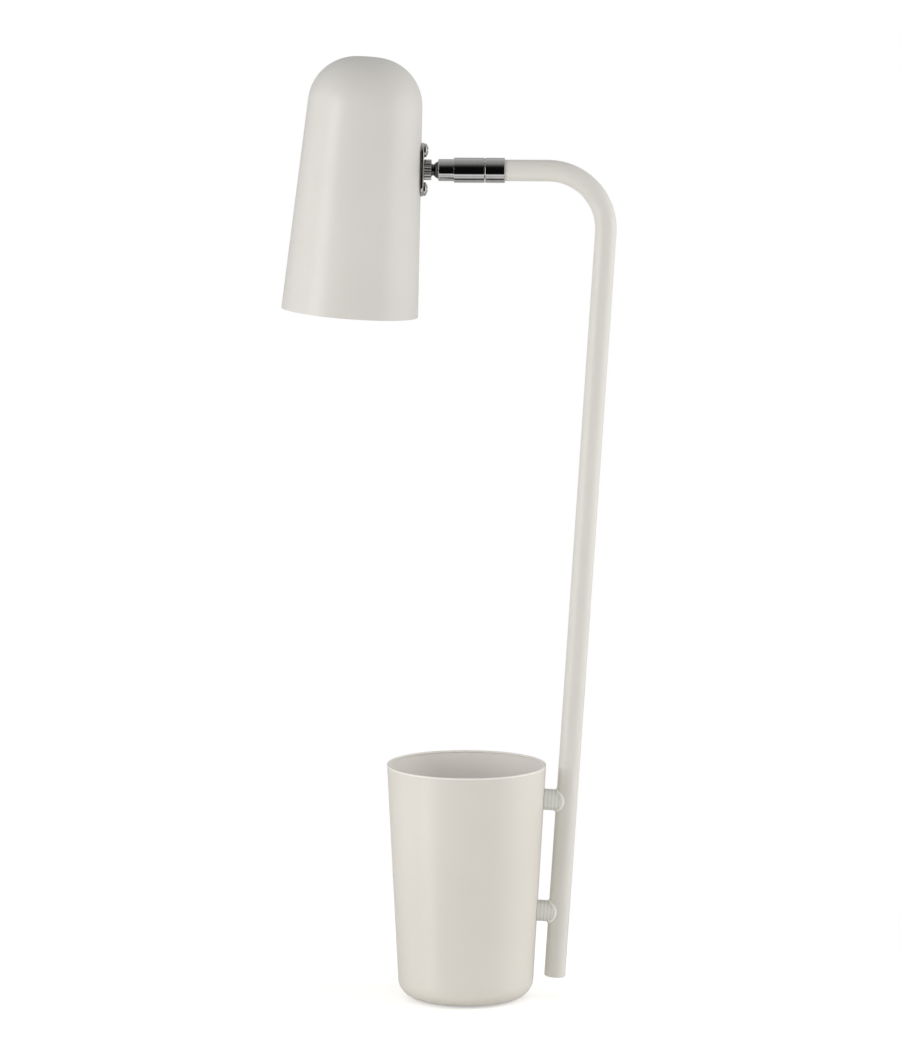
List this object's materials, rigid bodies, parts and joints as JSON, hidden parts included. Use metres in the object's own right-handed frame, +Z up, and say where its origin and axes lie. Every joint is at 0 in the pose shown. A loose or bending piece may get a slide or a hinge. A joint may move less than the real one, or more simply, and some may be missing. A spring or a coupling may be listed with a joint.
{
  "type": "desk lamp with pen cup base",
  "caption": "Desk lamp on an open pen cup: a leaning stem bent into an arm carries a bell shade on a turning sleeve and a ball joint.",
  "frame": {"origin": "centre of the rubber foot's underside, on the cup's axis at table level", "axes": "+Z up the cup's axis; the stem stands on the +X side of the cup and the arm leads back towards -X, where the shade hangs; +Y completes the right-handed frame and points away from the viewer of the picture"},
  "size_m": [0.1872, 0.09, 0.5337],
  "materials": {
    "white_paint": "satin",
    "chrome": "polished",
    "plain_steel": "satin",
    "iron": "matte",
    "brass": "satin",
    "black_rubber": "matte",
    "felt": "matte",
    "black_plastic": "satin",
    "ceramic": "gloss",
    "frosted_glass": "satin"
  },
  "bodies": {
    "stand": {"cup": "white_paint", "foot_pad": "black_rubber", "ballast": "iron", "ballast_screw": "plain_steel", "cup_liner": "felt", "lower_spacer": "white_paint", "upper_spacer": "white_paint", "spacer_screws": "plain_steel", "cup_washers": "plain_steel", "stem_tube": "white_paint", "inlet_bush": "black_rubber", "stem_wire": "black_rubber", "rear_collar": "chrome", "swivel_nipple": "plain_steel", "swivel_locknut": "plain_steel", "friction_washer": "brass", "stop_pin": "plain_steel"},
    "swivel": {"swivel_barrel": "chrome", "swivel_nose": "chrome", "spring_seat": "plain_steel", "disc_springs": "plain_steel", "ball_cup": "brass", "swivel_wire": "black_rubber"},
    "head": {"ball_stud": "chrome", "lock_ring": "chrome", "swivel_plate": "chrome", "plate_screws": "chrome", "plate_nuts": "plain_steel", "stud_nut": "plain_steel", "shade": "white_paint", "holder_bracket": "plain_steel", "holder_nipple": "plain_steel", "holder_nut": "plain_steel", "lampholder_cap": "black_plastic", "lampholder_body": "black_plastic", "contact_core": "ceramic", "screw_shell": "brass", "centre_contact": "brass", "bulb_cap": "brass", "bulb_glass": "frosted_glass", "socket_leads": "black_rubber"}
  },
  "joints": [
    {"name": "arm_swivel", "type": "hinge", "parent": "stand", "child": "swivel", "pos_m": [0.009, 0, 0.4706], "axis": [1, 0, 0], "range_deg": [-165, 165]},
    {"name": "head_tilt", "type": "hinge", "parent": "swivel", "child": "head", "pos_m": [-0.0154, 0, 0.4706], "axis": [0, 1, 0], "range_deg": [-30, 29]}
  ]
}
